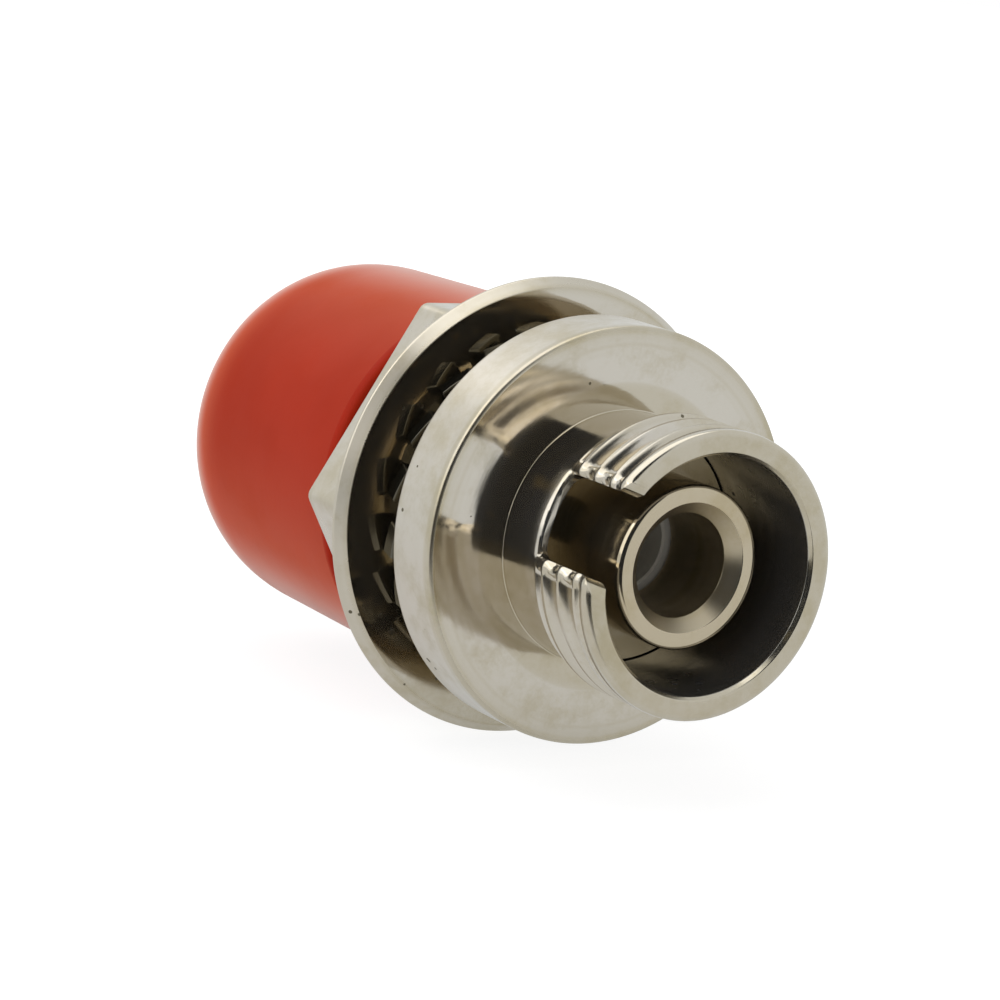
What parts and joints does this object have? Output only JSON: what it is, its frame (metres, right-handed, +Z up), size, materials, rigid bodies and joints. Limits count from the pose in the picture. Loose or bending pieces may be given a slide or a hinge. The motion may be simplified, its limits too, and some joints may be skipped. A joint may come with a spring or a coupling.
{
  "type": "fibre optic mating adapter",
  "caption": "Round-flanged fibre adapter with a keyed threaded barrel, split-sleeve holder, tooth lock washer, collared hexagon nut and a soft domed dust cap",
  "frame": {"origin": "on the bore's axis, in the plane of the flange's rear face, which seats on the panel", "axes": "+Y along the bore from the open front barrel to the capped rear; +Z up as the adapter lies in the picture; the keyway is at 161.7 degrees from +X towards +Z"},
  "size_m": [0.0134, 0.022, 0.0134],
  "materials": {
    "plated_body": "brass, turned and nickel plated, satin bright",
    "plated_nut": "brass, turned and nickel plated, bright face",
    "bright_metal": "brass, nickel plated, bright",
    "plated_steel": "spring steel, plated",
    "white_ceramic": "ground white ceramic",
    "red_vinyl": "soft dipped vinyl, satin"
  },
  "bodies": {
    "adapter_body": {"housing": "plated_body", "front_sleeve_holder": "bright_metal", "rear_sleeve_holder": "bright_metal", "split_sleeve": "white_ceramic"},
    "washer": {"lock_washer": "plated_steel"},
    "nut": {"mounting_nut": "plated_nut"},
    "cap": {"dust_cap": "red_vinyl"}
  },
  "joints": [
    {"name": "washer_travel", "type": "slide", "parent": "adapter_body", "child": "washer", "axis": [0, -1, 0], "range_m": [-0.000177, 0.00077]},
    {"name": "nut_turn", "type": "hinge", "parent": "washer", "child": "nut", "pos_m": [0, 0.00169, 0], "axis": [0, -1, 0], "range_deg": [-85, 370]},
    {"name": "cap_pull", "type": "slide", "parent": "adapter_body", "child": "cap", "axis": [0, 1, 0], "range_m": [0, 0.012]}
  ],
  "couplings": [
    {"joint": "nut_turn", "follows": "washer_travel", "rad_per_m": 8377.6}
  ]
}
